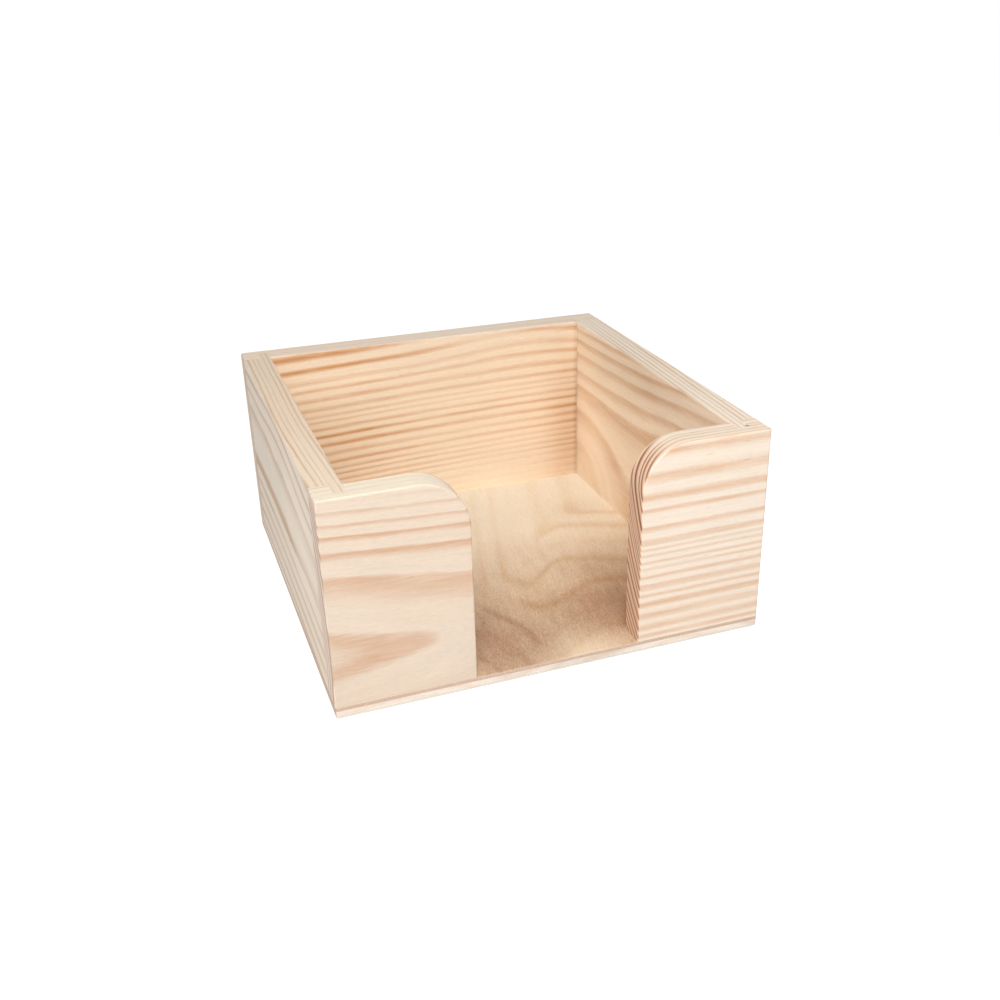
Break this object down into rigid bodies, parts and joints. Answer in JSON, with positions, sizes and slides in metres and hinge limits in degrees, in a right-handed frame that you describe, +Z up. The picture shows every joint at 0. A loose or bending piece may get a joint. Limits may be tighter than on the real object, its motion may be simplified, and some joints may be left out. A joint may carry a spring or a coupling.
{
  "type": "memo paper box",
  "caption": "Open-top square wooden desk box for loose memo sheets, with a wide finger opening with rounded corners in its front and a thin plywood bottom.",
  "frame": {"origin": "centre of the underside, in the plane of the desk", "axes": "+X to the right seen from the front, -Y to the front with the finger opening, +Z up"},
  "size_m": [0.11, 0.11, 0.055],
  "materials": {
    "pine_left_wall": "unfinished, sanded",
    "pine_right_wall": "unfinished, sanded",
    "pine_back_wall": "unfinished, sanded",
    "pine_front_left_panel": "unfinished, sanded",
    "pine_front_right_panel": "unfinished, sanded",
    "birch_face_ply": "unfinished, sanded",
    "birch_core_ply": "unfinished edge",
    "birch_back_ply": "unfinished",
    "brad_steel": "plain bright wire"
  },
  "bodies": {
    "root": {"left_wall": "pine_left_wall", "right_wall": "pine_right_wall", "back_wall": "pine_back_wall", "front_left_panel": "pine_front_left_panel", "front_right_panel": "pine_front_right_panel", "bottom_face_ply": "birch_face_ply", "bottom_core_ply": "birch_core_ply", "bottom_back_ply": "birch_back_ply", "bottom_brads": "brad_steel"}
  },
  "joints": []
}
